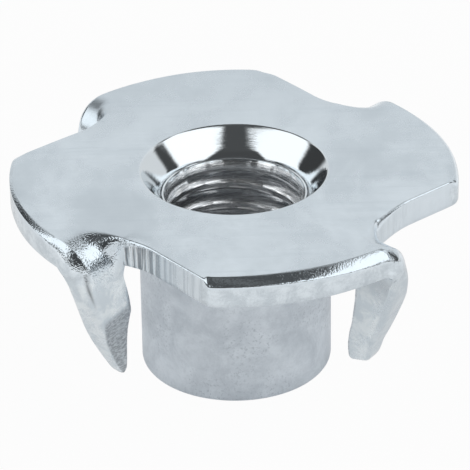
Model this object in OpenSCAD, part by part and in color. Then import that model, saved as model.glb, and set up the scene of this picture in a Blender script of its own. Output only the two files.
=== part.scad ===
// Tee nut with four prongs, pressed from one piece of sheet steel.
// The barrel stands on z = 0 and the bore runs along Z, with the flange at the top.
// A prong is worked out in its own frame: x runs out from the bore along the fold,
// y runs round the flange towards the prong's point, and z is up.

/* [Nut] */
// Height from the open end of the barrel to the top of the flange
nut_h = 11; // [9:0.1:13.5]
// Diameter of the circle that the flange reaches
flange_d = 22.9; // [19:0.1:28]
// Thickness of the flange and of the fold
sheet_t = 1.45; // [1.2:0.05:1.75]
// Radius of the rolled edge on top of the rim
rim_round = 0.42; // [0.1:0.02:0.55]

/* [Barrel] */
// Outside diameter of the barrel
barrel_d = 9.9; // [8.2:0.1:12]
// Radius between the barrel and the underside of the flange
neck_round = 0.7; // [0.2:0.05:0.9]
// Radius of the barrel's outer edge at its open end
foot_round = 0.25; // [0.1:0.05:0.4]

/* [Bore] */
// Diameter over the thread's crests, M8 with a pitch of 1.25
bore_d = 6.7; // [5.5:0.05:8.1]
// Lead-in chamfer at the open end of the barrel
lead_in = 0.6; // [0.2:0.05:0.8]
// Diameter of the flared mouth at the top of the flange
mouth_d = 9.5; // [9.1:0.1:11.5]
// Step out from the crests to the foot of the flare
throat_step = 0.35; // [0.1:0.05:0.45]
// Depth of the flare
mouth_depth = 1.5; // [1.1:0.05:1.9]

/* [Prongs] */
// Number of prongs
prong_n = 4; // [3:1:4]
// Drop from the top of the flange to the points
prong_len = 8.05; // [6.7:0.05:8.9]
// Radius inside the fold
fold_in_r = 0.45; // [0.25:0.05:0.6]
// Angle that the prongs are folded through
fold_angle = 80; // [72:1:86]
// Distance that the fold starts before the end of the cut
fold_back = 1.35; // [1.1:0.05:1.6]
// Width of the sheet that carries the fold, in from the rim
fold_w = 1.55; // [1.3:0.05:2]
// Width of the prong just below the fold
prong_w = 2.6; // [2.3:0.05:3]
// Width of the prong at its point
point_w = 0.7; // [0.6:0.05:1]
// Distance of the point in from the rim
point_in = 2.6; // [2.1:0.05:3.1]
// Thickness of the prong at its point
point_t = 0.55; // [0.45:0.05:0.8]
// How far the back of the point curls forward
point_curl = 0.7; // [0.3:0.05:0.9]
// Length of the sheared slope above the point
slope_len = 3.95; // [3:0.05:4.6]
// Skew of the sheared slope, deeper towards the bore, in degrees
slope_skew = 5.5; // [0:0.5:9]

/* [Cuts] */
// Depth in from the rim of the cut that freed each prong
cut_in = 2.75; // [2.3:0.05:3.2]
// Distance round from the end of the cut to its bend
cut_bend = 1.1; // [0.9:0.05:1.4]
// Radius of that bend
cut_round = 3.1; // [2:0.1:3.6]
// Slope of the cut beyond the bend, towards the rim, in degrees
cut_slope = 5.7; // [0:0.1:8]

/* [Hidden] */
$fn = 96;
eps = 0.01;
cover = 2;               // cutters run this far past what they cut
arc_steps = 6;           // flats along a rounded corner
zinc = [0.78, 0.82, 0.84];
flange_r = flange_d / 2;
barrel_r = barrel_d / 2;
bore_r = bore_d / 2;
under_z = nut_h - sheet_t;
fold_r = fold_in_r + sheet_t;
rim_x = sqrt(flange_r * flange_r - fold_back * fold_back);  // a prong's outer side, flush with the rim
fold_x = rim_x - fold_w;
leg_x = rim_x - prong_w;
point_x = rim_x - point_in;
point_z = nut_h - prong_len;
slope_z = point_z + slope_len;
waist_z = point_z + slope_len * 0.45;  // the slope steepens here
hip_z = under_z - 0.6;                 // the outer side leaves the rim's line here
ankle_z = point_z + 1.2;               // the sides turn in to the point here

// A corner b of an outline, rounded to radius r with a tangent arc
function unit(v) = v / norm(v);
function corner(a, b, c, r) =
    let (u = unit(a - b), w = unit(c - b))
    let (half = acos(u * w) / 2)
    let (centre = b + unit(u + w) * r / sin(half))
    let (start = b + u * r / tan(half) - centre)
    let (end = b + w * r / tan(half) - centre)
    let (from = atan2(start.y, start.x))
    let (turn = (atan2(end.y, end.x) - from + 540) % 360 - 180)
    [for (i = [0 : arc_steps])
        let (a = from + turn * i / arc_steps)
        centre + r * [cos(a), sin(a)]];

// An outline from points [x, y, radius]
function flat(p) = [p.x, p.y];
function rounded(pts) =
    let (m = len(pts))
    [for (i = [0 : m - 1])
        each (pts[i].z == 0 ? [flat(pts[i])] :
            corner(flat(pts[(i + m - 1) % m]), flat(pts[i]), flat(pts[(i + 1) % m]), pts[i].z))];

// Points in the prong's y-z plane at radius r round the fold's axis
fold_axis = [-fold_back, nut_h - fold_r];
function round_fold(r, a) = fold_axis + r * [sin(a), cos(a)];

// Half section of the outside: barrel, neck and flange
module outer_section() {
    translate([0, foot_round])
        square([barrel_r, nut_h - foot_round]);
    square([barrel_r - foot_round, nut_h]);
    translate([barrel_r - foot_round, foot_round])
        circle(r = foot_round);
    translate([0, under_z])
        square([flange_r, sheet_t - rim_round]);
    translate([0, under_z])
        square([flange_r - rim_round, sheet_t]);
    translate([flange_r - rim_round, nut_h - rim_round])
        circle(r = rim_round);
    difference() {
        translate([0, under_z - neck_round])
            square([barrel_r + neck_round, neck_round + sheet_t / 2]);
        translate([barrel_r + neck_round, under_z - neck_round])
            circle(r = neck_round);
    }
}

// Half section of the bore, with its lead-in and its flared mouth
module bore_section() {
    throat_r = bore_r + throat_step;
    lead = min(lead_in, 0.8 * (barrel_r - foot_round - bore_r));  // leaves a flat ring at the open end
    throat_z = nut_h - mouth_depth;
    spread = (mouth_d / 2 - throat_r) / mouth_depth;
    polygon([
        [0, -cover],
        [bore_r + lead + cover, -cover],
        [bore_r, lead],
        [bore_r, throat_z - throat_step],
        [throat_r, throat_z],
        [mouth_d / 2 + cover * spread, nut_h + cover],
        [0, nut_h + cover]
    ]);
}

// Plan of the gap that one prong leaves in the flange, from its fold to the next corner
module gap_plan() {
    bend = [flange_r - cut_in, cut_bend];
    run = [bend.x - fold_x, bend.y];
    half_turn = (atan2(-run.x, run.y) + cut_slope) / 2;
    bend_r = min(cut_round, 0.98 * norm(run) / tan(half_turn));
    polygon(rounded([
        [fold_x, 0, 0],
        [bend.x, bend.y, bend_r],
        [bend.x + tan(cut_slope) * (flange_r - bend.y), flange_r, 0],
        [flange_r + cover, flange_r, 0],
        [flange_r + cover, -fold_back, 0],
        [fold_x, -fold_back, 0]
    ]));
}

// The fold: the sheet's own section, carried round the fold's axis
module fold() {
    translate([0, fold_axis.x, fold_axis.y])
        rotate([0, -90, 0])
            rotate_extrude(angle = fold_angle + eps)
                polygon(rounded([
                    [fold_in_r, -rim_x, 0],
                    [fold_r, -rim_x, rim_round],
                    [fold_r, -leg_x, 0],
                    [fold_in_r, -leg_x, 0]
                ]));
}

// A prism along x from a section in the y-z plane
module along_x(from, to) {
    rotate([90, 0, 90])
        translate([0, 0, from])
            linear_extrude(height = to - from)
                children();
}

// The leg below the fold: full sheet, then a skewed shear that thins it down to the point
module leg() {
    front = round_fold(fold_r, fold_angle);
    back = round_fold(fold_in_r, fold_angle);
    lean = 1 / tan(fold_angle);
    slope_y = front.x + lean * (front.y - slope_z);
    back_y = back.x + point_curl;
    point_y = back_y + point_t;
    waist_y = point_y + (slope_y - point_y) * 0.2;
    spread = (slope_y - waist_y) / (slope_z - waist_z);
    difference() {
        along_x(leg_x - cover, rim_x + cover)
            polygon([
                front,
                [front.x + lean * (front.y - point_z), point_z],
                [back_y, point_z],
                [back.x + point_curl * 0.45, waist_z],
                back
            ]);
        translate([rim_x, 0, 0])
            rotate([0, 0, slope_skew])
                along_x(-prong_w - cover, cover)
                    polygon([
                        [slope_y + cover * spread, slope_z + cover],
                        [waist_y, waist_z],
                        [point_y, point_z],
                        [point_y, point_z - cover],
                        [slope_y + cover * 2, point_z - cover],
                        [slope_y + cover * 2, slope_z + cover]
                    ]);
    }
}

// Side view of a prong: it widens below the cut and tapers to a blunt point
module side_plan() {
    inner_x = point_x - point_w;
    polygon(rounded([
        [fold_x, nut_h + cover, 0],
        [fold_x, under_z + sheet_t * 0.45, 0.35],
        [leg_x, under_z + sheet_t * 0.2, 0.35],
        [leg_x, under_z - 1.2, 2],
        [inner_x, ankle_z, 2],
        [inner_x + 0.1, point_z, 0.3],
        [point_x, point_z, 0.25],
        [rim_x - 0.7, slope_z, 4],
        [rim_x, hip_z, 1.5],
        [rim_x, nut_h + cover, 0]
    ]));
}

module prong() {
    intersection() {
        union() {
            fold();
            leg();
        }
        rotate([90, 0, 0])
            linear_extrude(height = flange_r, center = true)
                side_plan();
    }
}

module tee_nut() {
    color(zinc)
        difference() {
            union() {
                difference() {
                    rotate_extrude()
                        outer_section();
                    for (i = [0 : prong_n - 1])
                        rotate([0, 0, 360 / prong_n * (i + 0.5)])
                            translate([0, 0, under_z - cover])
                                linear_extrude(height = sheet_t + cover * 2)
                                    gap_plan();
                }
                for (i = [0 : prong_n - 1])
                    rotate([0, 0, 360 / prong_n * (i + 0.5)])
                        prong();
            }
            rotate_extrude()
                bore_section();
        }
}

tee_nut();
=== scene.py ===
# Four-prong tee nut pressed from one zinc-plated sheet: flange, prongs, funnel mouth and threaded barrel
import math
import bmesh
import bpy
import numpy as np
from mathutils import Matrix, Vector


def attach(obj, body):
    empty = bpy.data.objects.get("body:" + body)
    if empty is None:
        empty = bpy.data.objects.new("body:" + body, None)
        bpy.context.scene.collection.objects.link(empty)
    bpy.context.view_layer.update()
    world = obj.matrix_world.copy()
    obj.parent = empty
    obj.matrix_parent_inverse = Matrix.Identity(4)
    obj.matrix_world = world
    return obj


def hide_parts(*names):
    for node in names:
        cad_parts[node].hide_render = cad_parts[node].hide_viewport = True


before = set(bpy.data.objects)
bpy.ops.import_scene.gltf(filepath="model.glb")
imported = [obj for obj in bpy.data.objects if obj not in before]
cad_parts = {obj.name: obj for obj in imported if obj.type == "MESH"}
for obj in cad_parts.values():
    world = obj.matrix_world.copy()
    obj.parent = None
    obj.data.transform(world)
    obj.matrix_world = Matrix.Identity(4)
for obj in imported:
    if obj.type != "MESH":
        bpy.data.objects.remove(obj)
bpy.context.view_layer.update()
print("frame loaded")


# the pressed nut, in millimetres and degrees; fours go by quarter, named places by the prong's angle
nut = {
    "height": 11.0, "flangeRadius": 11.45, "sheet": 1.45, "edgeBreak": 0.05,
    "mouthRadius": 4.80, "mouthBreak": 0.10, "throatRadius": 3.66, "throatDepth": 1.40,
    "crestRadius": 3.35, "threadDepth": 0.64, "pitch": 1.25, "threadStart": 250.0, "leadIn": 0.6,
    "grooveSoft": (0.06, 0.78), "softShare": 0.35, "grooveFlank": (0.10, 0.76), "runOut": 0.5,
    "barrelRadius": 4.95, "neckRound": 0.7, "footRound": 0.25, "sharpAngle": 42, "capRise": 0.05,
    # the fold at each prong: its start before the end of the cut, outer radius and turn
    "fold": {"start": 1.35, "outerRadius": 1.9, "angle": 80.0},
    # the cut that frees each prong: its line, its edge's roll and its torn face
    "cut": {
        "x": (8.70, 8.70, 8.57, 8.72), "bend": (1.1, 1.1, 1.1, 2.4), "round": (3.1, 3.1, 3.1, 5.0),
        "slope": (5.7, 5.7, 5.9, 6.5), "endX": (9.82, 9.82, 9.82, 9.6), "rootY": 0.85,
        "streaks": (0.6, 0.8, 1.0, 0.10), "cornerRound": (0.20, 0.12, 0.05, 0.12),
        "cornerBlend": (5.0, 4.0, 1.2, 2.0), "crease": (0.46, 0.85, 0.70, 0.46),
        "roll": (0.10, 0.22), "dip": 0.18, "fade": 0.9, "rootFade": 0.5, "tornAway": 0.22, "tornFade": (2.0, 4.2),
    },
    # the rolled rim of each lobe by the angle from its fold: how far in and down
    "rim": (
        ((-54, 5.4), (0.36, 0.56), (0.50, 0.784)),
        ((-54, -30, -23, -17, -11, -7, -3, 1, 5.4), (0.18, 0.24, 0.26, 0.28, 0.29, 0.30, 0.36, 0.50, 0.56),
         (0.09, 0.16, 0.19, 0.24, 0.38, 0.57, 0.74, 0.784, 0.784)),
        ((-54, -35, -25, -19, -13, -7, 0, 5.4), (0.45, 0.60, 0.58, 0.55, 0.52, 0.50, 0.54, 0.56),
         (0.36, 0.29, 0.34, 0.41, 0.50, 0.60, 0.74, 0.784)),
        ((-54, 5.4), (0.36, 0.56), (0.50, 0.784)),
    ),
    # where the drawn wall beside the end of the cut begins and ends
    "drawnWall": {"y": (-1.35, -0.6, 0.0, 0.4, 0.85, 1.4), "from": (9.22, 9.12, 9.00, 8.92, 8.85, 8.84),
                  "to": (10.35, 10.30, 10.12, 9.82, 9.30, 9.24)},
    # a prong's blank by the length y: inner side, width added at the rim, back's depth, rim's roll
    "prong": {
        "y": (0.85, 1.2, 1.4, 1.7, 2.3, 3.4, 4.4, 5.4, 6.4, 6.9, 7.4, 7.75, 7.95),
        "innerX": (9.05, 8.92, 8.84, 8.78, 8.76, 8.58, 8.36, 8.21, 8.11, 8.07, 8.06, 8.09, 8.16),
        "rimAdd": (0, 0, 0, 0, 0, 0, 0, 0.02, 0.10, 0.20, 0.36, 0.50, 0.58),
        "backN": (1.45, 1.45, 1.45, 1.47, 1.52, 1.64, 1.74, 1.84, 1.90, 1.92, 1.92, 1.90, 1.84),
        "roll": (0.56, 0.51, 0.46, 0.41, 0.32, 0.18, 0.10, 0.06, 0.05, 0.05, 0.08, 0.12, 0.16),
        "rollDepth": 1.4, "rollCrease": 0.46, "rimStart": 11.3, "end": 7.98, "tipStart": 7.6,
        "reach": {45: 7.6, 135: 7.75, 225: 7.75, 315: 7.27},
        # each prong's own shift of its inner side: lengths and shifts
        "inner": {
            45: ((0.85, 8), (0, 0.1)), 135: ((0.85, 4, 8), (0, 0.05, 0.12)),
            225: ((0.85, 2, 3.4, 4.6, 6, 8), (0, -0.03, -0.13, 0.03, 0.20, 0.22)),
            315: ((0.85, 1.6, 3, 4.5, 5.2, 6, 8), (0, 0.13, 0.27, 0.38, 0.37, 0.25, 0.06)),
        },
        # how far each fold's rim stands out: places and shifts
        "out": {
            45: ((-3, 8), (0, 0)), 135: ((-3, 8), (0, 0)), 225: ((-3, 1.5, 3, 4.5, 8), (0, 0, -0.12, -0.05, 0)),
            315: ((-4, -2.5, -1, 0.5, 2, 3, 4, 5.2, 6.2, 7.2, 8),
                  (0, 0, 0.08, 0.19, 0.2, 0.08, 0.02, 0.10, 0.22, 0.32, 0.34)),
        },
        # depth of the torn slope by length; the first serves all but the last prong
        "torn": {
            45: ((0, 4.0, 4.5, 5.0, 5.5, 6.0, 6.5, 7.0, 7.5, 8.0, 9.0),
                 (0, 0, 0.17, 0.42, 0.64, 0.82, 0.96, 1.09, 1.23, 1.36, 1.6)),
            315: ((0, 3.0, 4.05, 5.14, 6.25, 7.4, 9.0), (0, 0, 0.16, 0.47, 0.76, 1.08, 1.2)),
        },
        "tornLean": 0.20, "bevel": 0.55, "bevelFrom": (2.0, 3.2),
        "bevelIn": ((2.2, 3.46, 4.2, 9), (0.0, 0.34, 0.5, 0.6)),
        "backRound": ((1.0, 1.8, 4.0, 7.0), (0.06, 0.34, 0.40, 0.30)),  # between the rim side and the back
        "blunt": {45: 0.62, 135: 0.62, 225: 0.62, 315: 0.92}, "thin": 0.17,
        "lean": {45: (0, 0, 0.1), 135: (0, 0, 0.2), 225: (0, 0, 0.22), 315: (0, 0.18, 0.34)},  # waist, point, slant
    },
    # the bore's wall below the flare: depths under the throat, radii, and the waves of its edge
    "boreLip": {"depth": (1.20, 0.95, 0.75, 0.55, 0.38, 0.24, 0.12, 0.0),
                "radius": (3.33, 3.38, 3.43, 3.46, 3.49, 3.55, 3.61, 3.64),
                "waves": ((0.018, 9, 1.0), (0.012, 23, 0.0), (0.008, 41, 2.0)), "start": 0.95, "end": 0.55},
    "ledge": {"rise": (-0.04, 0.0, 0.03, 0.045), "radius": (0.0, -0.035, -0.035, -0.02)},
    # smoothed spots at the end of the last cut: place out, across and up, distance of full and no effect
    "easeSpots": ((9.05, 0.4, 10.0, 0.25, 0.9), (9.1, 0.85, 10.6, 0.4, 1.2)),
}
cut, rim, fold, prong = nut["cut"], nut["rim"], nut["fold"], nut["prong"]
# grid lines in each zone, an edge's being its roll's and face's; from arc on, points of helper lines
counts = {
    "bore": 98, "lead": 3, "funnel": 14, "mouth": 6, "top": 15, "wall": 12, "lip": 12, "edge": 14, "roll": 8, "face": 6,
    "under": 8, "neck": 8, "barrel": 6, "foot": 4, "prong": 48, "arc": 40, "line": 200, "angles": 4000, "flare": 400,
}
quarterAngles = (45, 135, 225, 315)
cornerAt = 36  # angle from a prong at which the cut meets the rim


def smoothStep(low, high, value):
    # 3 t^2 - 2 t^3, t the share of the way from low to high
    t = np.clip((value - low) / (high - low), 0, 1)
    return t * t * (3 - 2 * t)


def mix(a, b, share):
    # a plus the share of the way from a to b
    return a + (b - a) * share


def curve(at, xs, ys):
    # smooth line through a table's points: cubic pieces with slopes from the neighbours
    xs, ys = np.array(xs, float), np.array(ys, float)
    slope = np.gradient(ys, xs)
    at = np.clip(at, xs[0], xs[-1])
    i = np.clip(np.searchsorted(xs, at, side="right") - 1, 0, len(xs) - 2)
    h = xs[i + 1] - xs[i]
    t = (at - xs[i]) / h
    return ((1 + 2 * t) * (1 - t) ** 2 * ys[i] + t * (1 - t) ** 2 * h * slope[i]
            + t * t * (3 - 2 * t) * ys[i + 1] + t * t * (t - 1) * h * slope[i + 1])


def shares(zone):
    # even steps from 0 to under 1, one for each line of a zone
    return np.arange(counts[zone]) / counts[zone]


def spreadAngles(stops):
    # angles whose spacing follows the (angle, spacing) stops:
    # the running sum of 1 / spacing is cut into whole steps
    at, gap = np.array(stops, float).T
    fine = np.linspace(at[0], at[-1], counts["angles"])
    steps = np.concatenate([[0], np.cumsum(np.diff(fine) / np.interp((fine[1:] + fine[:-1]) / 2, at, gap))])
    n = int(round(steps[-1]))
    return np.interp(np.linspace(0, steps[-1], n + 1), steps, fine)


def cutLine(corner):
    # plan of the cut: a straight run, a tangent arc, then the sloping line to the rim
    lineLength, beyondRim, mostRun = 9, 3, 0.98
    slope = np.tan(np.radians(cut["slope"][corner]))
    start = np.array([cut["endX"][corner], 0.0])
    bend = np.array([cut["x"][corner], cut["bend"][corner]])
    u = (start - bend) / np.linalg.norm(start - bend)
    w = np.array([slope, 1.0])
    w /= np.linalg.norm(w)
    half = np.arccos(np.clip(u @ w, -1, 1)) / 2
    reach = min(cut["round"][corner] / np.tan(half), mostRun * np.linalg.norm(start - bend))
    r = reach * np.tan(half)
    centre = bend + (u + w) / np.linalg.norm(u + w) * r / np.sin(half)
    a0 = np.arctan2(*(bend + u * reach - centre)[::-1])
    a1 = np.arctan2(*(bend + w * reach - centre)[::-1])
    turn = (a1 - a0 + np.pi) % (2 * np.pi) - np.pi
    arc = a0 + turn * np.linspace(0, 1, counts["arc"])
    line = bend + w * (reach + np.linspace(0, lineLength, counts["line"])[:, None])
    pts = np.vstack([[start], centre + r * np.stack([np.cos(arc), np.sin(arc)], 1), line[1:]])
    return pts[np.hypot(*pts.T) < nut["flangeRadius"] + beyondRim]


def cornerAngle(corner):
    # angle at which the cut's line crosses the rim circle
    p = cutLine(corner)
    angle = np.degrees(np.arctan2(p[:, 1], p[:, 0]))
    r = np.hypot(*p.T)
    i = np.argmax(r > nut["flangeRadius"])
    return float(np.interp(nut["flangeRadius"], r[i - 1:i + 1], angle[i - 1:i + 1]))


def edgeRadius(delta, corner):
    # distance of the edge: the nearer of rim circle a and cut b, their corner rounded
    # as -s log(exp(-a / s) + exp(-b / s)), both less a middle value to keep the powers small
    middle = 11
    p = cutLine(corner)
    line = np.interp(delta, np.degrees(np.arctan2(p[:, 1], p[:, 0])), np.hypot(*p.T))
    soft = cut["cornerRound"][corner]
    return -soft * np.log(np.exp(-(line - middle) / soft) + np.exp(-(nut["flangeRadius"] - middle) / soft)) + middle


def drawnWall(y):
    # where the drawn wall begins and ends, by the place along the sheet
    table = nut["drawnWall"]
    return curve(y, table["y"], table["from"]), curve(y, table["y"], table["to"])


def rootSpot():
    # plan distance and radius of the cut's end, half way down the drawn wall
    x = sum(drawnWall(cut["rootY"])) / 2
    return x, float(np.hypot(x, cut["rootY"]))


def bendMap(x, y, n):
    # the sheet rolled round the fold's axis, then straight: y is its length, n the depth in it
    lead = y + fold["start"]
    r = fold["outerRadius"]
    most = np.radians(fold["angle"])
    turn = np.clip(lead / r, 0, most)
    past = np.maximum(lead - r * most, 0)
    flat = np.minimum(lead, 0)
    s = -fold["start"] + flat + (r - n) * np.sin(turn) + past * np.cos(turn)
    z = nut["height"] - r + (r - n) * np.cos(turn) - past * np.sin(turn)
    return x, s, z


def sheetMap(x, y, n):
    # flat near the hub, folded towards the rim, with the drawn wall between
    wallFrom, wallTo = drawnWall(y)
    w = smoothStep(wallFrom, wallTo, x)
    fx, fs, fz = bendMap(x, y, n)
    return mix(x, fx, w), mix(y, fs, w), mix(nut["height"] - n, fz, w)


def sectionPoint(q, rollStart, rollIn, rollDown, faceEnd, crease):
    # point on the edge's section by its place q: below 0 the strip before it in mm, 0 to 1 the roll
    # (out by sin, down by 1 - cos, or by sin as far as it is creased), 1 to 2 straight down the face
    turn = np.clip(q, 0, 1) * np.pi / 2
    down = np.clip(q - 1, 0, 1)
    rho = np.where(q <= 0, rollStart + q, rollStart + rollIn * np.sin(turn))
    rolled = rollDown * ((1 - crease) * (1 - np.cos(turn)) + crease * np.sin(turn))
    return rho, np.where(q <= 0, 0, rolled + down * (faceEnd - rollDown))


def foldPlaces():
    # places of the edge's lines beside a fold: the roll from 0 to 1, then the face from 1 to 2
    k, rollN, edgeN = shares("edge"), counts["roll"], counts["edge"]
    return np.where(k < rollN / edgeN, k * edgeN / rollN, 1 + (k - rollN / edgeN) / (counts["face"] / edgeN))


def edgeTables(wallFrom, wallTo, rollStart, share):
    # place of each edge line: near a corner they cover the edge alone, near a fold the top too
    b, m, k = shares("wall"), shares("lip"), shares("edge")
    foldB, foldM = mix(wallFrom, wallTo, b) - rollStart, mix(wallTo - rollStart, 0, m)
    return np.hstack([mix(b, foldB, share), mix(1, foldM, share), mix(1 + k, foldPlaces(), share)])


def rimRoll(delta, corner):
    # the rim's roll, in and down, from the corner to the fold
    angles, rollIn, rollDown = rim[corner]
    return curve(delta, angles, rollIn), curve(delta, angles, rollDown)


def cutRoll(y):
    # roll of the cut's edge: a least value plus a part that dies out away from the cut's end
    least, more = cut["roll"]
    return least + more * np.exp(-np.maximum(y - 0.8, 0) / cut["fade"])


def topRings(first):
    # rings of the top, from the mouth's edge out to the first edge line
    k = np.append(np.linspace(0, 0.94, counts["top"] - 1), 0.993)
    return mix(nut["mouthRadius"] + nut["mouthBreak"] * 0.9, first, k)


def underRings(edge, lipEnd, wallEnd):
    # rings under the sheet: along the lip, along the drawn wall, and in to the neck
    neck = nut["barrelRadius"] + nut["neckRound"]
    return mix(edge, lipEnd, shares("lip")), mix(lipEnd, wallEnd, shares("wall")), mix(wallEnd, neck, shares("under"))


def sheetColumns(d, rho, n, under):
    # radius, plan place and depth of each column's points, from the mouth round the rim to the neck
    top, below = topRings(rho[:, :1]), np.hstack(under)
    rhos = np.hstack([top, rho, below])
    depth = np.hstack([0 * top, n, 0 * below + nut["sheet"]])
    return rhos, rhos * np.cos(d), rhos * np.sin(d), depth


def lobeSheet(delta, corner):
    # columns of a lobe and its fold: sections through the edge, which sheetMap bends
    d, faceEnd = np.radians(delta), nut["sheet"] - nut["edgeBreak"]
    nextCut = -20  # before this angle the edge may be the next cut's
    flange = np.where(delta < nextCut, edgeRadius(np.minimum(delta, nextCut) + 90, corner), nut["flangeRadius"])
    out = prong["out"][quarterAngles[(corner + 1) % 4]]
    flange = flange + curve(nut["flangeRadius"] * np.sin(d), *out)
    rollIn, rollDown = rimRoll(delta, corner)
    rollStart, edge = flange - rollIn, flange - nut["edgeBreak"]
    yRoot = rootSpot()[1] * np.sin(d)
    a, b = drawnWall(yRoot)
    wallFrom = np.minimum((a - 0.05) / np.cos(d), flange - 2.2)
    wallTo = np.minimum(mix(b, (a + b) / 2, smoothStep(-0.6, cut["rootY"], yRoot)) / np.cos(d), flange - 1.1)
    share = smoothStep(delta[0] + 0.5, -16, delta)
    q = edgeTables(wallFrom, wallTo, rollStart, share)
    # a sharp crease turns into the prong's own towards the fold, a soft one starts at nothing
    crease = cut["crease"][corner]
    if crease < 0.5:
        crease = crease * smoothStep(-38, -8, delta)
    else:
        crease = mix(crease, prong["rollCrease"], smoothStep(-25, -4, delta))
    rho, n = sectionPoint(q, rollStart, rollIn, rollDown, faceEnd, crease)
    under = underRings(edge, mix(edge, wallTo, share), mix(edge - 0.9, wallFrom - 0.1, share))
    return np.stack(sheetMap(*sheetColumns(d, rho, n, under)[1:]), -1)


def gapSheet(delta, corner):
    # columns of a gap, closed by the cut's face and drawn down beside the fold; with the torn marks
    d, faceEnd = np.radians(delta), nut["sheet"] - nut["edgeBreak"]
    rhoE = edgeRadius(delta, corner)
    yE = rhoE * np.sin(d)
    byRim = smoothStep(delta.max() - cut["cornerBlend"][corner], delta.max(), delta)
    endIn, endDown = rimRoll(delta.max() - 90, corner)
    roll, rollDown = mix(cutRoll(yE), endIn, byRim), mix(cutRoll(yE), endDown, byRim)
    crease = byRim * (cut["crease"][corner] if cut["crease"][corner] > 0.5 else 0.0)
    # along a column the roll is longer where the edge runs aslant
    tangent = np.gradient(np.hstack([rhoE * np.cos(d), rhoE * np.sin(d)]), d.ravel(), axis=0)
    tangent /= np.linalg.norm(tangent, axis=1, keepdims=True)
    facing = np.abs(tangent[:, 1:] * np.cos(d) - tangent[:, :1] * np.sin(d))
    rollIn = np.minimum(roll / np.maximum(facing, 0.7), 0.5)
    rollStart = rhoE - rollIn
    q = edgeTables(rollStart, rollStart, rollStart, 0 * rollStart)
    rho, n = sectionPoint(q, rollStart, rollIn, rollDown, faceEnd, crease)
    edge = rhoE - nut["edgeBreak"]
    under = underRings(edge, edge, edge - 0.9)
    rhos, x, y, depth = sheetColumns(d, rho, n, under)
    dip = cut["dip"] * np.exp(-np.maximum(yE - cut["rootY"], 0) / cut["fade"])
    plain = np.stack([x, y, nut["height"] - depth - dip * smoothStep(-0.9, 0, rhos - rhoE)], -1)
    # at the cut's end the edge meets the fold's own section, and that shift dies out along the cut
    rootR = rootSpot()[1]
    wallFrom = (drawnWall(cut["rootY"])[0] - 0.05) / np.cos(d[0])
    lipN, edgeN, wallN = counts["lip"], counts["edge"], counts["wall"]
    before, after = counts["top"] + wallN + lipN, wallN + counts["under"]
    r0 = np.concatenate([topRings(wallFrom), mix(wallFrom, rootR, shares("wall")), np.full(lipN + edgeN, rootR),
                         *underRings(rootR, rootR, wallFrom - 0.1)])
    n0 = np.concatenate([np.zeros(before), shares("edge") * nut["sheet"], np.full(lipN + after, nut["sheet"])])
    drawn = np.stack(sheetMap(r0 * np.cos(d[0]), r0 * np.sin(d[0]), n0), -1)
    fade = np.exp(-(yE - yE[0]) / cut["rootFade"])
    # torn mark: 1 on the sheared face, weaker away from the fold and at the corner
    zeros = lambda n: np.zeros((len(delta), n))
    torn = np.hstack([zeros(counts["top"]), smoothStep(0.85, 1.0, q), zeros(lipN) + 1, zeros(after)])
    tornRoot = np.concatenate([np.zeros(before), np.ones(edgeN + lipN), np.zeros(after)])
    torn = mix(torn, tornRoot, fade) * mix(1.0, cut["tornAway"], smoothStep(*cut["tornFade"], yE))
    torn = torn * (1 - smoothStep(delta.max() - 1.0, delta.max(), delta))
    return plain + (drawn - plain[0]) * fade[:, :, None], torn


def tornDepth(x, y, place):
    # depth of the torn slope under the front: a table along the prong, deeper towards the bore,
    # or a bevel along the inner side where that is deeper
    along = y + (nut["height"] - x) * prong["tornLean"]
    deep = np.interp(along, *prong["torn"].get(place, prong["torn"][45]))
    side = curve(y, prong["y"], prong["innerX"]) + curve(y, *prong["inner"][place])
    bevel = prong["bevel"] * np.maximum(side + np.interp(y, *prong["bevelIn"]) - x, 0)
    return np.maximum(deep, bevel * smoothStep(*prong["bevelFrom"], y))


def prongSides(yIn, skew, place):
    # inner side, rim side, roll and back of a prong by length, its point narrowed as a fingertip is:
    # the half width is multiplied by a mix of blunt and 1 by sqrt(1 - t^2)
    table = lambda name, y: curve(y, prong["y"], prong[name])
    waist, blunt, slant = prong["lean"][place]
    xi = table("innerX", yIn) + curve(yIn, *prong["inner"][place])
    lean = waist * np.exp(-((yIn - 6.0) / 0.9) ** 2) + blunt * smoothStep(6.3, 7.5, yIn)
    xo = prong["rimStart"]
    for _ in range(6):  # found in turns, as it lies aslant on the rim circle
        yRim = yIn + skew * (xo - xi)
        onRim = np.sqrt(np.maximum(nut["flangeRadius"] ** 2 - yRim ** 2, 0))
        xo = onRim + table("rimAdd", yRim) + lean + curve(yRim, *prong["out"][place])
    over = np.clip((yIn - prong["tipStart"]) / (prong["end"] + 0.02 - prong["tipStart"]), 0, 1)
    close = np.sqrt(1 - over ** 2)
    atTip, narrow, mid = yIn > prong["tipStart"], mix(prong["blunt"][place], 1, close), (xi + xo) / 2
    xi = np.where(atTip, mid - (mid - xi) * narrow, xi)
    xo = np.where(atTip, mid + (xo - mid) * narrow, xo)
    return xi, xo, np.minimum(table("roll", yIn), 0.4 * (xo - xi)), table("backN", yIn), atTip, close, slant


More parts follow.
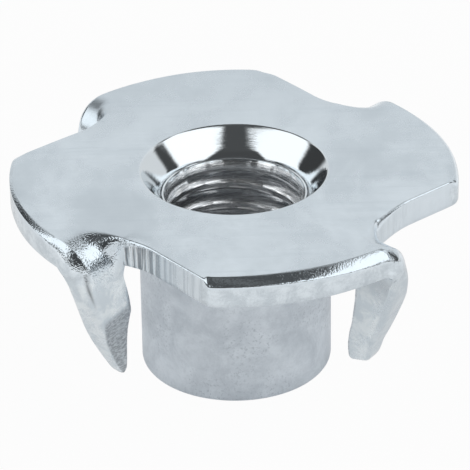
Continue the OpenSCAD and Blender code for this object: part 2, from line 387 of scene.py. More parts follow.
def prongRings(firstAngle, place):
    # a prong's rings, each round its section: front, rim side, back and inner side, laid out flat as x, length y
    # and depth d, and then bent with the sheet
    k = np.arange(1, counts["prong"] + 1)[:, None] / counts["prong"]
    end, reach = prong["end"], prong["reach"][place]
    yIn = np.interp(k, [0, 0.2, 0.85, 1.0], [cut["rootY"], 1.9, 7.3, end])
    skew = np.tan(np.radians(firstAngle)) * (1 - smoothStep(0, 0.25, k))
    xi, xo, roll, back, atTip, close, slant = prongSides(yIn, skew, place)
    soft = np.interp(yIn, *prong["backRound"])
    lengthAt = lambda x: yIn + skew * (x - xi)
    m, kk, edgeN = shares("lip"), shares("edge"), counts["edge"]
    # front
    xM = mix(xi, xo - roll, m)
    frontM = tornDepth(xM, lengthAt(xM), place)
    frontEnd = tornDepth(xo - roll, lengthAt(xo - roll), place)
    # rim side: the roll and the face, and the corner onto the back
    xK, dK = sectionPoint(foldPlaces(), xo - roll, roll, roll * prong["rollDepth"], back - soft, prong["rollCrease"])
    corner = counts["roll"] + 1
    arc = np.clip((kk - corner / edgeN) / ((edgeN - corner) / edgeN), 0, 1) * np.pi / 2
    onArc = kk >= corner / edgeN
    xK = np.where(onArc, xo - soft * (1 - np.cos(arc * 0.9)), xK)
    dK = np.where(onArc, back - soft * (1 - np.sin(arc)), dK)
    # below the torn slope's start the rim side begins at the slope
    rimFrom = np.minimum(frontEnd, back - 0.3)
    dK = rimFrom + dK * (back - rimFrom) / back
    # back and inner side
    xB = mix(xo - soft, xi, m)
    wide, tall = np.ones((1, len(m))), np.ones((1, len(kk)))
    yK, yB = lengthAt(xK), lengthAt(xB)
    x = np.hstack([xM, xK, xB, xi * tall])
    y = np.hstack([lengthAt(xM), yK, yB, yIn * tall])
    d = np.hstack([frontM, dK, back * wide, mix(back, frontM[:, :1], kk)])
    # the point thins and rounds over from front and back
    squeeze = mix(prong["blunt"][place] - prong["thin"], 1, close)
    centre = (frontM.mean(1, keepdims=True) + back) / 2
    d = np.where(atTip, centre + (d - centre) * squeeze, d)
    # marks: torn -1 on the slope and inner side; side 1 on the rim side and -1 on the upper back, as painted shade, and
    # above 1 along the crease between rim side and front, as a painted dark crease line
    torn = -np.hstack([smoothStep(0.02, 0.16, frontM), 0 * xK, 0 * xB, 0 * kk + 0 * xi + 1])
    # where the painted shade of the crease lies: about the second edge line, between lengths 0.6 and 3.2
    crease = np.exp(-((kk * edgeN - 2.0) / 0.9) ** 2) * smoothStep(0.6, 0.9, yK) * (1 - smoothStep(2.0, 3.2, yK))
    side = np.hstack([0 * xM, 1 + crease, smoothStep(1.5, 3.6, yB) - 1, 0 * kk + 0 * xi])
    # past the fold the length is shortened to the prong's own, and the point is slanted
    shortFrom = 3.0
    short = np.where(y > shortFrom, shortFrom + (y - shortFrom) * (reach - shortFrom) / (end - shortFrom), y)
    y = short + slant * smoothStep(6.6, 7.9, y) * ((xo - x) / (xo - xi) - 0.5)
    # by the cut's end the inner side still hangs on the hub's sheet
    wallFrom, wallTo = drawnWall(cut["rootY"])
    hung = (1 - smoothStep(wallFrom, wallTo, x)) * (1 - smoothStep(cut["rootY"], cut["rootY"] + 1.2, y))
    bent, flat = np.stack(bendMap(x, y, d), -1), np.stack([x, y, nut["height"] - d], -1)
    return mix(bent, flat, hung[..., None]), torn, side


def turned(points, angle):
    # points turned about the nut's axis: x cos - y sin, x sin + y cos
    c, s = np.cos(angle), np.sin(angle)
    x, y = points[..., 0], points[..., 1]
    return np.stack([x * c - y * s, x * s + y * c, points[..., 2]], -1)


def flangeSheets():
    # the four quarters' columns side by side, with their torn marks and angles
    rootAngle = np.degrees(np.arctan2(cut["rootY"], rootSpot()[0]))
    gap = spreadAngles([(rootAngle, 0.10), (7.0, 0.16), (9, 0.45), (12, 0.9), (20, 1.7), (32, 1.2), (cornerAt, 0.45)])
    lobe = spreadAngles([(cornerAt, 0.45), (39, 1.2), (60, 2.0), (76, 1.4), (81, 0.72), (90 + gap[0], 0.62)]) - 90
    sheets, torn, phi = [], [], []
    for k in range(4):
        past = cornerAngle(k) - cornerAt  # shift of the corner that both share
        gapK = gap + past * smoothStep(12, cornerAt, gap)
        lobeK = lobe + past * (1 - smoothStep(cornerAt, 60, lobe + 90))
        phi.append(np.concatenate([gapK[:-1], lobeK + 90]) + 45 + 90 * k)
        gapPart, gapTorn = gapSheet(gapK[:, None], k)
        lobePart = turned(lobeSheet(lobeK[:, None], k), np.pi / 2)
        sheets.append(turned(np.concatenate([gapPart[:-1], lobePart], 0), np.radians(45 + 90 * k)))
        torn.append(np.vstack([gapTorn[:-1], np.zeros((len(lobe), gapTorn.shape[1]))]) * cut["streaks"][k])
    return np.concatenate(sheets, 0), np.vstack(torn), np.concatenate(phi)[:, None], gap[0]


def threadRadius(z, phi):
    # crest radius plus a groove that climbs one pitch each turn, part rounded and part straight flank
    phase = (z / nut["pitch"] - (phi - nut["threadStart"]) / 360.0) % 1.0
    d = np.abs(phase - 0.5) * 2
    low, high = nut["grooveFlank"]
    flank = np.clip((d - low) / (high - low), 0, 1)
    depth = 1 - mix(flank, smoothStep(*nut["grooveSoft"], d), nut["softShare"])
    return nut["crestRadius"] + nut["threadDepth"] * depth


def boreRadius(z, phi, throatZ):
    # the thread runs out into the lead-in, and under the flare's lip the wall falls into it
    lip = nut["boreLip"]
    runOut = smoothStep(nut["leadIn"], nut["leadIn"] + nut["runOut"], z)
    rad = mix(nut["crestRadius"], threadRadius(z, phi), runOut)
    wavy = sum(size * np.sin(np.radians(phi) * waves + shift) for size, waves, shift in lip["waves"])
    lipR = np.interp(z, throatZ - np.array(lip["depth"]), lip["radius"])
    lipR = lipR + wavy * smoothStep(throatZ - 0.9, throatZ - 0.4, z)
    falling = smoothStep(throatZ - lip["start"], throatZ - lip["end"], z)
    return np.where(z > throatZ - lip["start"], mix(rad, lipR, falling), rad)


def insideProfile(phi):
    # lines of radius and height from the open end up: lead-in, bore, ledge, flare, mouth's round
    throatZ, mouthBreak, lead = nut["height"] - nut["throatDepth"], nut["mouthBreak"], nut["leadIn"]
    leadZ = shares("lead") * lead
    boreZ = np.linspace(lead, throatZ - 0.06, counts["bore"], endpoint=False)
    topR, topZ = nut["mouthRadius"] - mouthBreak * 0.35, nut["height"] - mouthBreak * 0.42
    # the flare's slope: steep at its foot, then even, flatter by the mouth
    fine = np.linspace(0, 1, counts["flare"])
    pace = mix(0.40, 1, smoothStep(0, 0.30, fine)) + 0.12 * fine ** 3
    grown = np.concatenate([[0], np.cumsum((pace[1:] + pace[:-1]) / 2)])
    t, m = shares("funnel") ** 1.1, shares("mouth")
    return [
        (nut["crestRadius"] + lead - leadZ, leadZ),
        (boreRadius(boreZ, phi, throatZ), boreZ),
        (nut["throatRadius"] + np.array(nut["ledge"]["radius"]), throatZ + np.array(nut["ledge"]["rise"])),
        (mix(nut["throatRadius"] + 0.04, topR, np.interp(t, fine, grown / grown[-1])), mix(throatZ + 0.05, topZ, t)),
        (topR + (nut["mouthRadius"] + mouthBreak * 0.9 - topR) * (0.55 * m + 0.45 * m ** 2),
         topZ + (nut["height"] - topZ) * np.sin(np.pi / 2 * m)),
    ]


def outsideProfile():
    # lines of radius and height from the sheet down to the open end: neck round, barrel, foot round
    neck, barrelR, foot = nut["neckRound"], nut["barrelRadius"], nut["footRound"]
    underZ = nut["height"] - nut["sheet"]
    a = shares("neck") * np.pi / 2
    f = np.arange(counts["foot"] + 1) / counts["foot"] * np.pi / 2
    barrelZ = mix(underZ - neck, foot, shares("barrel"))
    return [
        (barrelR + neck - neck * np.sin(a), underZ - neck + neck * np.cos(a)),
        (barrelR + 0 * barrelZ, barrelZ),
        (barrelR - foot + foot * np.cos(f), foot - foot * np.sin(f)),
    ]


def nutGrid():
    # one closed grid: each column runs from the open end up the bore, over the sheet and down outside
    sheets, tornSheet, phi, firstAngle = flangeSheets()
    c, s, one = np.cos(np.radians(phi)), np.sin(np.radians(phi)), np.ones_like(phi)
    revolve = lambda r, z: np.stack([r * one * c, r * one * s, z * one + 0 * r * c], -1)
    inner = np.concatenate([revolve(r, z) for r, z in insideProfile(phi)], 1)
    outer = np.concatenate([revolve(r, z) for r, z in outsideProfile()], 1)
    grid = np.concatenate([inner, sheets, outer], 1)
    torn = np.hstack([np.zeros(inner.shape[:2]), tornSheet, np.zeros(outer.shape[:2])])
    return grid, torn, firstAngle, inner.shape[1]


def gridFaces(a, b):
    # four-sided faces between closed lines a and b whose points match one to one
    return np.stack([a, b, np.roll(b, -1, -1), np.roll(a, -1, -1)], -1).reshape(-1, 4)


def pointCap(ring, points, axis, firstId):
    # cap of a prong's point: a Coons blend of its sides, raised along the axis by u (1 - u) v (1 - v)
    m, k = counts["lip"], counts["edge"]
    at = np.zeros((m + 1, k + 1), int)  # place round the ring of each border point
    at[:, 0], at[:, k] = np.arange(m + 1), 2 * m + k - np.arange(m + 1)
    at[m], at[0] = m + np.arange(k + 1), (2 * m + 2 * k - np.arange(k + 1)) % (2 * m + 2 * k)
    ids, x = ring[at], points[at]
    u, v = np.linspace(0, 1, m + 1)[:, None, None], np.linspace(0, 1, k + 1)[None, :, None]
    corners = (1 - u) * (1 - v) * x[0, 0] + u * (1 - v) * x[-1, 0] + (1 - u) * v * x[0, -1] + u * v * x[-1, -1]
    patch = (1 - u) * x[:1] + u * x[-1:] + (1 - v) * x[:, :1] + v * x[:, -1:] - corners
    patch = patch + axis * (nut["capRise"] * 16 * u * (1 - u) * v * (1 - v))
    ids[1:m, 1:k] = firstId + np.arange((m - 1) * (k - 1)).reshape(m - 1, k - 1)
    faces = np.stack([ids[:-1, :-1], ids[:-1, 1:], ids[1:, 1:], ids[1:, :-1]], -1).reshape(-1, 4)
    return patch[1:m, 1:k].reshape(-1, 3), faces


def easeRoot(verts, faces):
    # at the last cut's end points move half way towards their neighbours' mean, less with distance;
    # those at one place move as one, and those outside the second spot are put back
    key, same = np.unique(np.round(verts, 5), axis=0, return_inverse=True)
    same = same.ravel()
    q = same[faces]
    edges = np.stack([q, np.roll(q, -1, 1)], -1).reshape(-1, 2)
    edges = edges[edges[:, 0] != edges[:, 1]]

    def nearness(out, across, height, full, none):
        # 1 by the spot, down to 0 at the last distance
        spot = turned(np.array([out, across, height]), np.radians(quarterAngles[-1]))
        return 1 - smoothStep(full, none, np.linalg.norm(key - spot, axis=1))

    second = nearness(*nut["easeSpots"][1])
    first = np.maximum(nearness(*nut["easeSpots"][0]), second)
    act = np.flatnonzero(first > 0)
    slot = np.full(len(key), -1)
    slot[act] = np.arange(len(act))
    e = edges[slot[edges[:, 0]] >= 0]
    own = slot[e[:, 0]]
    count = np.bincount(own, minlength=len(act))[:, None]
    point = key.copy()
    for near in [first] * 2 + [second] * 4:
        total = np.stack([np.bincount(own, point[e[:, 1], c], minlength=len(act)) for c in range(3)], 1)
        point[act] += (total / count - point[act]) * 0.5 * near[act][:, None]
    return np.where((second[same] > 0)[:, None], point[same], verts)


def buildNut():
    # the grid round the nut, with four capped prongs hung on its open edges
    grid, tornGrid, firstAngle, sheetFrom = nutGrid()
    lines = grid.shape[1]
    verts = grid.reshape(-1, 3)
    ids = np.arange(len(verts)).reshape(4, -1, lines)
    faces = [gridFaces(ids[:, :-1], ids[:, 1:])]
    lip, edge = counts["lip"], counts["edge"]
    start = sheetFrom + counts["top"] + counts["wall"]  # the first line of the lip
    end = start + 2 * lip + edge  # the first line of the drawn wall's underside
    # a quarter's last column and the next one's first share every point outside the edge
    last, first = ids[:, -1], np.roll(ids[:, 0], -1, axis=0)
    weld = np.arange(len(verts))
    shared = np.ones(lines, bool)
    shared[start + 1:end] = False
    weld[first[:, shared].ravel()] = last[:, shared].ravel()
    parts, tornParts, sideParts, base = [verts], [tornGrid.ravel()], [np.zeros(len(verts))], len(verts)
    for k in range(4):
        place = quarterAngles[(k + 1) % 4]
        rings, ringTorn, ringSide = prongRings(firstAngle, place)
        rings = turned(rings, np.radians(45 + 90 * (k + 1)))
        ringIds = base + np.arange(ringTorn.size).reshape(ringTorn.shape)
        # ring 0 is on the sheet: its inner side on the cut's end, the rest on the fold's column
        root = first[k][start + lip:start + lip + edge][::-1][:-1]
        ring0 = np.concatenate([last[k][start:end], [last[k][end]], root])
        allRings = np.vstack([ring0, ringIds])
        faces.append(gridFaces(allRings[:-1], allRings[1:]))
        axis = rings[-1].mean(0) - rings[-4].mean(0)
        axis /= np.linalg.norm(axis)
        cap, capFaces = pointCap(ringIds[-1], rings[-1], axis, base + ringIds.size)
        faces.append(capFaces)
        parts += [rings.reshape(-1, 3), cap]
        tornParts += [ringTorn.ravel(), np.full(len(cap), -1.0)]
        sideParts += [ringSide.ravel(), np.zeros(len(cap))]
        base += ringIds.size + len(cap)
    verts = np.vstack(parts)
    weld = np.concatenate([weld, np.arange(len(weld), len(verts))])
    faces = weld[np.vstack(faces)]
    return easeRoot(verts, faces), faces, np.concatenate(tornParts), np.concatenate(sideParts)


def makePiece(name, verts, faces, masks):
    # merge the shared seams, point the faces outward and keep only real edges sharp
    mesh = bpy.data.meshes.new(name)
    mesh.from_pydata((verts * 0.001).tolist(), [], faces.tolist())
    for key, values in masks.items():
        mesh.attributes.new(key, "FLOAT", "POINT").data.foreach_set("value", values.astype(np.float32))
    bm = bmesh.new()
    bm.from_mesh(mesh)
    bmesh.ops.remove_doubles(bm, verts=bm.verts, dist=1e-7)
    bmesh.ops.recalc_face_normals(bm, faces=bm.faces)
    bm.to_mesh(mesh)
    bm.free()
    mesh.polygons.foreach_set("use_smooth", np.ones(len(mesh.polygons), bool))
    mesh.set_sharp_from_angle(angle=math.radians(nut["sharpAngle"]))
    mesh.update()
    piece = bpy.data.objects.new(name, mesh)
    bpy.context.scene.collection.objects.link(piece)
    return piece


class Nodes:
    # adds nodes to a tree, sets their sockets and links what comes in
    def __init__(self, tree):
        self.tree = tree
        tree.nodes.clear()

    def add(self, kind, fields=None, **inputs):
        # an input is named by its socket, or by i and the socket's number
        node = self.tree.nodes.new(kind)
        for key, value in (fields or {}).items():
            setattr(node, key, value)
        for key, value in inputs.items():
            byNumber = key[0] == "i" and key[1:].isdigit()
            socket = node.inputs[int(key[1:])] if byNumber else node.inputs[key.replace("_", " ")]
            if isinstance(value, bpy.types.NodeSocket):
                self.tree.links.new(value, socket)
            else:
                socket.default_value = value
        return node

    def math(self, operation, a, b=0.0):
        return self.add("ShaderNodeMath", {"operation": operation}, i0=a, i1=b).outputs[0]

    def times(self, a, b):
        return self.math("MULTIPLY", a, b)

    def ramp(self, value, low, high, fromLow, fromHigh):
        # low below fromLow, high above fromHigh, smooth between
        kind = {"interpolation_type": "SMOOTHSTEP", "clamp": True}
        return self.add("ShaderNodeMapRange", kind, Value=value, i1=fromLow, i2=fromHigh, i3=low, i4=high).outputs[0]

    def noise(self, where, scale, detail, rough, stretch=(1, 1, 1), shift=(0, 0, 0), warp=0.0):
        # noise whose places are stretched and shifted first
        place = self.add("ShaderNodeMapping", Vector=where, Scale=stretch, Location=shift).outputs[0]
        kind = dict(Scale=scale, Detail=detail, Roughness=rough, Distortion=warp)
        return self.add("ShaderNodeTexNoise", Vector=place, **kind).outputs[0]

    def mixFloat(self, share, a, b):
        return self.add("ShaderNodeMix", {"data_type": "FLOAT"}, i0=share, i2=a, i3=b).outputs[0]

    def mixColour(self, share, a, b):
        # a towards b by the share, for fixed colours as well as linked ones
        a, b = ((*c, 1) if isinstance(c, tuple) else c for c in (a, b))
        return self.add("ShaderNodeMix", {"data_type": "RGBA"}, i0=share, i6=a, i7=b).outputs[2]

    def attribute(self, name):
        return self.add("ShaderNodeAttribute", {"attribute_name": name}).outputs["Fac"]


finish = {
    # colours, dark and light where there are two
    "light": (0.77, 0.840, 0.895), "dull": (0.685, 0.755, 0.810), "line": (0.60, 0.675, 0.735),
    "streaked": ((0.20, 0.215, 0.23), (0.94, 0.97, 0.99)), "torn": ((0.43, 0.465, 0.50), (0.75, 0.795, 0.83)),
    # the barrel's colours are darker than the sheet's as painted shade; its smears and pits are its own
    "barrel": ((0.575, 0.625, 0.68), (0.79, 0.845, 0.90)), "pit": (0.49, 0.54, 0.59),
    # the prongs' mottle, then painted shade for their rim side and for their upper back under the fold
    "leg": ((0.72, 0.79, 0.84), (0.91, 0.965, 0.99)), "legSideShade": (0.56, 0.62, 0.67), "legBackShade": (0.42, 0.46, 0.50),
    # the crease's colour is painted shade
    # the wall's colours: a mottle, darker than the sheet's as painted shade
    "crease": (0.20, 0.215, 0.23), "wall": ((0.59, 0.65, 0.695), (0.80, 0.865, 0.91)),
    "bore": ((0.58, 0.60, 0.62), (0.97, 0.98, 0.99)), "funnel": (0.79, 0.835, 0.865),
    # how much of a zone's own colour shows
    "share": {"speckle": 0.35, "line": 0.30, "back": 0.75, "streaked": 0.8, "barrel": 0.85, "leg": 0.85,
              "legSideShade": 0.40, "legBackShade": 0.65, "crease": 0.9, "wall": 0.8, "bent": 0.9},
    # roughness of each zone; the sheet's is satin to cloudy, with a little grain
    "rough": {"satin": 0.20, "cloudy": 0.34, "grain": 0.08, "streaked": 0.24, "torn": 0.42, "barrel": 0.42,
              "bent": 0.10, "bore": 0.20, "funnel": 0.07},
    # height of the bumps in metres
    "bump": {"ripple": 0.000010, "fine": 0.0000028, "grain": 0.000014, "streaked": 0.00008, "torn": 0.00006,
             "bore": 0.000012, "funnel": 0.000003},
    # each pattern's noise: scale, detail, roughness, stretch, shift, warp
    "noise": {
        "clouds": (230, 4, 0.60, (1.3, 0.8, 1), (0, 0, 0), 0.25), "patches": (620, 3, 0.6, (1, 1, 1), (3, 1, 2)),
        "grain": (9000, 2, 0.6), "lines": (500, 3, 0.7, (0.25, 4.0, 1), (1, 7, 3)),
        "fineStreaks": (7500, 3, 0.75, (1, 1, 0.04)), "broadStreaks": (2400, 2, 0.6, (1, 1, 0.04), (2, 9, 0)),
        "tears": (12000, 3, 0.65, (0.35, 0.35, 1.0), (0, 0, 0), 0.3),
        "smears": (560, 7, 0.72, (1, 1, 1), (1, 4, 2), 0.3), "pits": (7000, 2, 0.6, (1, 1, 1), (8, 3, 5)),
        "pitted": (330, 2, 0.5, (1, 1, 1), (2, 2, 7)), "legs": (950, 7, 0.72, (1, 1, 1), (5, 2, 8), 0.4),
        "wall": (1100, 6, 0.75, (1, 1, 1), (9, 2, 3), 0.3), "turned": (900, 4, 0.8, (1, 1, 20.0)),
        "rings": (700, 3, 0.7, (1, 1, 26.0), (4, 4, 1)), "ripple": (900, 2, 0.5, (1, 1, 1), (7, 5, 1)),
        "fine": (14000, 3, 0.6), "coarse": (10500, 1, 0.5, (1, 1, 1), (6, 1, 4)),
    },
    # the noise values at which a pattern starts and is full
    "edges": {"clouds": (0.30, 0.72), "patches": (0.35, 0.72), "lines": (0.45, 0.75), "tears": (0.38, 0.60),
              "smears": (0.30, 0.70), "pits": (0.54, 0.66), "legs": (0.40, 0.60), "wall": (0.36, 0.64),
              "turned": (0.42, 0.60)},
    # the last pair: where the painted shade towards the back starts and is full, in metres behind the axis
    "streaks": (0.6, 0.50, 0.66), "pitted": (0.12, 0.75, 0.46, 0.60), "backShadeFrom": (0.001, 0.010),
}


def zincMaterial(zones):
    # bright zinc: each zone's colour, roughness and bumps laid over the sheet's by the zone's mask
    mat = bpy.data.materials.new("zincPlated")
    mat.use_nodes = True
    n = Nodes(mat.node_tree)
    where = n.add("ShaderNodeTexCoord").outputs["Object"]
    zone = {name: n.attribute(name) for name in zones}
    noise = {name: n.noise(where, *row) for name, row in finish["noise"].items()}
    pattern = {name: n.ramp(noise[name], 0, 1, *ends) for name, ends in finish["edges"].items()}
    share, rough, bump = finish["share"], finish["rough"], finish["bump"]
    # the torn mark is above 0 on the cut's streaked face and below 0 on torn slopes
    cutFace, slope = (n.math("MAXIMUM", n.times(zone["torn"], sign), 0.0) for sign in (1.0, -1.0))
    streakSize, streakLow, streakHigh = finish["streaks"]
    streaks = n.math("ADD", n.times(noise["fineStreaks"], streakSize), n.times(noise["broadStreaks"], streakSize))

    def cover(colour, mask, amount, over):
        # the colour laid over by an amount of the mask
        return n.mixColour(n.times(mask, amount), colour, over)

    def shade(name, two):
        # a dark and a light colour mixed by a pattern
        return n.mixColour(pattern[name], *two)

    # the sheet: clouds, speckle, painted shade that makes it duller towards the back, faint rolling lines
    colour = shade("clouds", (finish["light"], finish["dull"]))
    colour = cover(colour, pattern["patches"], share["speckle"], finish["dull"])
    # painted shade: past the axis towards the back the sheet is mixed towards the dull colour
    depth = n.add("ShaderNodeSeparateXYZ", Vector=where).outputs["Y"]
    colour = n.mixColour(n.ramp(depth, 0, share["back"], *finish["backShadeFrom"]), colour, finish["dull"])
    colour = cover(colour, pattern["lines"], share["line"], finish["line"])
    streaked = n.mixColour(n.ramp(streaks, 0, 1, streakLow, streakHigh), *finish["streaked"])
    colour = cover(colour, cutFace, share["streaked"], streaked)
    # the barrel: smears and scattered pits, on colours darker than the sheet's as painted shade
    barrelShade = shade("smears", finish["barrel"])
    pits = n.times(pattern["pits"], n.ramp(noise["pitted"], *finish["pitted"]))
    colour = cover(colour, zone["barrel"], share["barrel"], n.mixColour(pits, barrelShade, finish["pit"]))
    # the prongs: their mottle, with painted shade on the rim side and on the upper back
    rimSideShade, back = (n.math("MAXIMUM", n.times(zone["side"], sign), 0.0) for sign in (1.0, -1.0))
    legShade = cover(shade("legs", finish["leg"]), rimSideShade, share["legSideShade"], finish["legSideShade"])
    legShade = cover(legShade, back, share["legBackShade"], finish["legBackShade"])
    colour = cover(colour, zone["legs"], share["leg"], legShade)
    # painted shade: a dark line along the crease of the front left prong
    colour = cover(colour, zone["crease"], share["crease"], finish["crease"])
    # the rim's outer wall: a mottle, darker than the sheet as painted shade
    colour = cover(colour, zone["wall"], share["wall"], shade("wall", finish["wall"]))
    colour = n.mixColour(slope, colour, shade("tears", finish["torn"]))
    colour = n.mixColour(zone["bore"], colour, shade("turned", finish["bore"]))
    colour = n.mixColour(zone["polished"], colour, finish["funnel"])

    centred = lambda name: n.math("SUBTRACT", noise[name], 0.5)
    gloss = n.mixFloat(pattern["clouds"], rough["satin"], rough["cloudy"])
    gloss = n.math("ADD", gloss, n.times(centred("grain"), rough["grain"]))
    for mask, value in (
        (cutFace, "streaked"), (slope, "torn"), (zone["barrel"], "barrel"),
        (n.times(zone["bent"], share["bent"]), "bent"), (zone["bore"], "bore"), (zone["polished"], "funnel"),
    ):
        gloss = n.mixFloat(mask, gloss, rough[value])

    height = n.times(centred("ripple"), bump["ripple"])
    height = n.math("ADD", height, n.times(centred("fine"), bump["fine"]))
    height = n.math("ADD", height, n.times(n.times(centred("coarse"), zone["grain"]), bump["grain"]))
    height = n.times(height, n.math("SUBTRACT", 1.0, zone["polished"]))
    for ridges, mask, size in (
        (n.math("SUBTRACT", streaks, streakSize), cutFace, "streaked"), (centred("tears"), slope, "torn"),
        (centred("turned"), zone["bore"], "bore"), (centred("rings"), zone["polished"], "funnel"),
    ):
        height = n.math("ADD", height, n.times(n.times(ridges, mask), bump[size]))
    bumps = n.add("ShaderNodeBump", Strength=1.0, Distance=1.0, Height=height)
    surface = dict(Base_Color=colour, Metallic=1.0, Roughness=gloss, Normal=bumps.outputs[0])
    shader = n.add("ShaderNodeBsdfPrincipled", **surface)
    n.add("ShaderNodeOutputMaterial", Surface=shader.outputs[0])
    return mat


def zoneMasks(verts, torn, side):
    # 0 to 1 masks of each zone, by the distance from the axis and the height
    x, y, z = verts.T
    reach = np.hypot(x, y)
    rise = smoothStep
    fall = lambda low, high, value: 1 - smoothStep(low, high, value)
    down = nut["height"] - z
    front, back, left = y < 0, y > 0, x < 0
    leftFold, crown, cutEnd = (-6.9, -6.9), (-7.30, -7.33, 10.40), (6.95, -5.85)
    near = lambda spot: np.linalg.norm(verts[:, :len(spot)] - np.array(spot), axis=1)
    # the glossier, grained folds and rolls; not on the back left fold or at the last cut's end
    bent = rise(0.005, 0.06, down) * fall(1.9, 2.3, down) * rise(8.3, 8.8, reach)
    bent = bent * (np.abs(torn) < 0.01) * (z > 8.6) * (1 - np.maximum(side, 0))
    bent = bent * np.where(left & back, 0.0, 1.0) * rise(0.5, 0.9, near(cutEnd))
    # the grain is coarsest on the front left fold, and fine on its crown
    grain = bent * (1 + 1.1 * fall(1.2, 2.2, near(leftFold))) * mix(0.30, 1, rise(0.20, 0.62, near(crown)))
    return {
        "torn": torn,
        "polished": fall(4.74, 4.9, reach) * rise(9.45, 9.6, z),
        "barrel": fall(5.0, 5.6, reach) * rise(4.5, 4.8, reach) * fall(9.0, 9.5, z),
        "bore": fall(3.95, 4.15, reach) * fall(9.5, 9.6, z),
        "legs": rise(5.8, 6.3, reach) * fall(9.0, 9.6, z),
        # painted shade: up to 1 on the rim side, not on the left prongs, and down to -1 on each prong's upper back
        "side": np.minimum(side, 1) * np.where(left & (side > 0), 0.0, 1.0),
        "bent": bent,
        "grain": grain,
        # the rim's outer wall: a mottle, darker than the sheet as painted shade
        "wall": rise(10.9, 11.2, reach) * fall(10.45, 10.65, z) * rise(8.6, 9.4, z),
        # painted shade along the crease between rim side and front, on the front left prong only
        "crease": np.maximum(side - 1, 0) * (left & front),
    }


verts, faces, torn, side = buildNut()
print("nut grid", len(verts), "points")
masks = zoneMasks(verts, torn, side)
nutPiece = makePiece("pressedNut", verts, faces, masks)
nutPiece.data.materials.append(zincMaterial(masks))
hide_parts("tee_nut")
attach(nutPiece, "root")
print("nut built", len(nutPiece.data.polygons), "faces")


view = {
    "elevation": 29.685, "azimuth": -1.4, "roll": -0.834, "distance": 0.17117,
    "lens": 254.25, "sensor": 36, "clip": (0.005, 20), "aim": (-0.000002, 0, 0.007082),
}


def makeCamera():
    # a long lens that looks down on the nut, rolled a little to level the flange
    e, a, roll = (math.radians(view[key]) for key in ("elevation", "azimuth", "roll"))
    back = Vector((0, -math.cos(e), math.sin(e)))
    level, steep = Vector((1, 0, 0)), Vector((0, math.sin(e), math.cos(e)))
    right = level * math.cos(roll) + steep * math.sin(roll)
    up = steep * math.cos(roll) - level * math.sin(roll)
    spin = Matrix.Rotation(a, 3, "Z")
    right, up, back = spin @ right, spin @ up, spin @ back
    camera = bpy.data.cameras.new("camera")
    camera.lens, camera.sensor_width = view["lens"], view["sensor"]
    camera.clip_start, camera.clip_end = view["clip"]
    holder = bpy.data.objects.new("camera", camera)
    place = Matrix((right, up, back)).transposed().to_4x4()
    place.translation = spin @ Vector(view["aim"]) + back * view["distance"]
    holder.matrix_world = place
    bpy.context.scene.collection.objects.link(holder)
    bpy.context.scene.camera = holder


makeCamera()
print("camera placed")


# the tent and the table: strengths, and in degrees where each part of the tent starts and is full;
# a table is (elevations or azimuths), (values)
studio = {
    "behind": 0.86, "front": 0.07, "top": 0.08, "overhead": 0.16, "left": 1.25, "right": 1.30,
    "gapLeft": 0.05, "gapRight": 0.065, "radius": 0.6, "tint": (0.97, 0.99, 1.0), "tentGrid": (241, 92), "tentFrom": -1,
    "behindHeight": ((20, 28, 32), (0.90, 0.96, 1.0)), "behindFrom": (100, 112),
    "roof": ((112, 130, 160, 175), (39, 39, 42, 44)), "roofSoft": 9, "overheadFrom": (78, 83),
    "leftGap": ((-148, -140), (-116, -111), (31, 41)), "rightGap": ((90, 96), (115, 120), (30, 40)),
    "boxSoft": 3,
    "leftBox": {"from": (-115, -110), "low": (5, 12), "high": (54, 62),
                "to": ((0, 8, 20, 30, 38, 47, 52, 55, 58, 64), (54, 52, 47, 46, 45, 43, 37, 29, 24, 20))},
    "rightBox": {"low": (7, 14), "high": (60, 66),
                 "from": ((0, 8, 17, 30, 40, 46, 52, 54, 58, 64), (50, 45, 39, 35, 31, 30, 27, 22, 18, 16)),
                 "to": ((0, 20, 28, 33, 41, 49, 56), (92, 92, 96, 102, 108, 113, 116))},
    "highBox": {"from": (62, 68), "to": (150, 158), "low": (55, 59), "drop": (110, 120), "dropBy": 3, "soft": 2,
                "high": ((60, 70, 80, 100, 120, 137, 150, 158), (50, 53, 56, 60, 61.5, 62.5, 59, 56))},
    # the table: how bright it is seen, its paint, and the nut's shade by the distance in metres
    "floorHalf": 1, "floorGlow": 0.96, "floorColour": 0.80,
    "inside": (0.70, 1, 0.0040, 0.0049), "near": (0.55, 1.0, 0.008, 0.055), "wallShade": (0.70, 1.0, 0.0049, 0.0062),
    "worldStrength": (0.5, 1.0),
}


def between(value, rise, fall):
    # 1 between two soft edges, 0 outside them
    return smoothStep(*rise, value) * (1 - smoothStep(*fall, value))


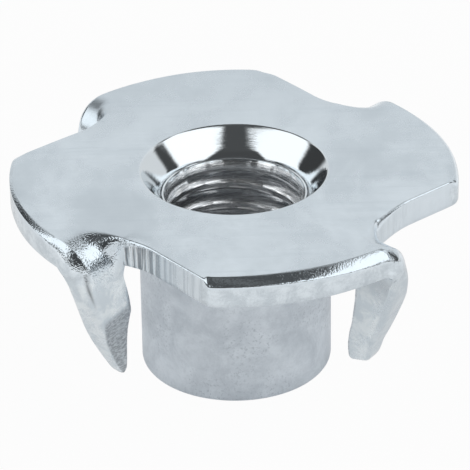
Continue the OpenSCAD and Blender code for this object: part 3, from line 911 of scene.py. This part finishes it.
def tentGlow(az, el):
    # brightness of the tent by direction: az 0 is the front and 90 the right;
    # each part is laid over the ones before it
    behind = studio["behind"] * np.interp(el, *studio["behindHeight"])
    glow = mix(studio["front"], behind, smoothStep(*studio["behindFrom"], np.abs(az)))
    roof = np.interp(np.abs(az), *studio["roof"])
    glow = mix(glow, studio["top"], smoothStep(roof, roof + studio["roofSoft"], el))
    glow = mix(glow, studio["overhead"], smoothStep(*studio["overheadFrom"], el))
    for dark, (rise, fall, top) in ((studio["gapLeft"], studio["leftGap"]), (studio["gapRight"], studio["rightGap"])):
        glow = mix(glow, dark, between(az, rise, fall) * (1 - smoothStep(*top, el)))
    soft, left, right, high = studio["boxSoft"], studio["leftBox"], studio["rightBox"], studio["highBox"]
    end = -np.interp(el, *left["to"])
    box = smoothStep(*left["from"], az) * (1 - smoothStep(-soft, soft, az - end))
    box = box * between(el, left["low"], left["high"])
    glow = mix(glow, studio["left"], box)
    # the right box leans back as it rises, and a strip runs on from its top
    start, end = np.interp(el, *right["from"]), np.interp(el, *right["to"])
    box = smoothStep(-soft, soft, az - start) * (1 - smoothStep(-soft, soft, az - end))
    box = box * between(el, right["low"], right["high"])
    over = np.interp(az, *high["high"])
    dropped = el + high["dropBy"] * smoothStep(*high["drop"], az)
    strip = between(az, high["from"], high["to"]) * smoothStep(*high["low"], dropped)
    strip = strip * (1 - smoothStep(over - high["soft"], over + high["soft"], el))
    return mix(glow, studio["right"], np.maximum(box, strip))


def stagePiece(name, points, faces):
    # a piece of the room that is no part of the nut, with its own empty material to fill
    mesh = bpy.data.meshes.new(name)
    mesh.from_pydata(points, [], faces)
    mat = bpy.data.materials.new(name + "Finish")
    mat.use_nodes = True
    mesh.materials.append(mat)
    piece = bpy.data.objects.new(name, mesh)
    bpy.context.scene.collection.objects.link(piece)
    return piece, Nodes(mat.node_tree)


def makeTent():
    # half a sphere, a grid of azimuth by elevation: (sin az cos el, -cos az cos el, sin el),
    # with the glow kept on its points
    across, up = studio["tentGrid"]
    az, el = np.meshgrid(np.linspace(-180, 180, across), np.linspace(studio["tentFrom"], 90, up))
    a, e = np.radians(az), np.radians(el)
    pts = np.stack([np.sin(a) * np.cos(e), -np.cos(a) * np.cos(e), np.sin(e)], -1).reshape(-1, 3) * studio["radius"]
    ids = np.arange(az.size).reshape(az.shape)
    quads = np.stack([ids[:-1, :-1], ids[1:, :-1], ids[1:, 1:], ids[:-1, 1:]], -1).reshape(-1, 4)
    tent, n = stagePiece("lightTent", pts.tolist(), quads.tolist())
    glow = tentGlow(az, el).ravel().astype(np.float32)
    tent.data.attributes.new("glow", "FLOAT", "POINT").data.foreach_set("value", glow)
    tent.visible_camera = False
    lamp = n.add("ShaderNodeEmission", Color=(*studio["tint"], 1), Strength=n.attribute("glow"))
    n.add("ShaderNodeOutputMaterial", Surface=lamp.outputs[0])


def rays(n):
    # 1 where a mirror looks, and 1 where the camera looks
    path = n.add("ShaderNodeLightPath").outputs
    mirrored = n.math("MAXIMUM", path["Is Glossy Ray"], path["Is Transmission Ray"])
    return mirrored, path["Is Camera Ray"]


def makeFloor():
    # a white table; the nut mirrors its own shade there, dark inside the barrel and soft round it
    h = studio["floorHalf"]
    n = stagePiece("floor", [(-h, -h, 0), (h, -h, 0), (h, h, 0), (-h, h, 0)], [(0, 1, 2, 3)])[1]
    mirror, camera = rays(n)
    where = n.add("ShaderNodeTexCoord").outputs["Object"]
    away = n.add("ShaderNodeVectorMath", {"operation": "LENGTH"}, i0=where).outputs["Value"]
    near = n.times(n.ramp(away, *studio["near"]), n.ramp(away, *studio["wallShade"]))
    seen = n.times(n.math("MAXIMUM", camera, n.times(mirror, near)), n.ramp(away, *studio["inside"]))
    paint = n.add("ShaderNodeBsdfDiffuse", Color=(studio["floorColour"],) * 3 + (1,))
    glow = n.add("ShaderNodeEmission", Color=(1, 1, 1, 1), Strength=1.0)
    both = n.add("ShaderNodeMixShader", i0=n.times(seen, studio["floorGlow"]), i1=paint.outputs[0], i2=glow.outputs[0])
    # open from beneath, so that the underside can be looked at
    under = n.add("ShaderNodeNewGeometry").outputs["Backfacing"]
    clear = n.add("ShaderNodeBsdfTransparent")
    shown = n.add("ShaderNodeMixShader", i0=under, i1=both.outputs[0], i2=clear.outputs[0])
    n.add("ShaderNodeOutputMaterial", Surface=shown.outputs[0])


def makeWorld():
    # white where it is seen or mirrored, and half as strong as a light
    world = bpy.data.worlds.new("studio")
    bpy.context.scene.world = world
    world.use_nodes = True
    n = Nodes(world.node_tree)
    seen = n.math("MAXIMUM", *rays(n))
    back = n.add("ShaderNodeBackground", Color=(1, 1, 1, 1), Strength=n.ramp(seen, *studio["worldStrength"], 0.0, 1.0))
    n.add("ShaderNodeOutputWorld", Surface=back.outputs[0])


makeTent()
makeFloor()
makeWorld()
print("light tent, table and world made")
bpy.context.scene.view_settings.view_transform = "Standard"
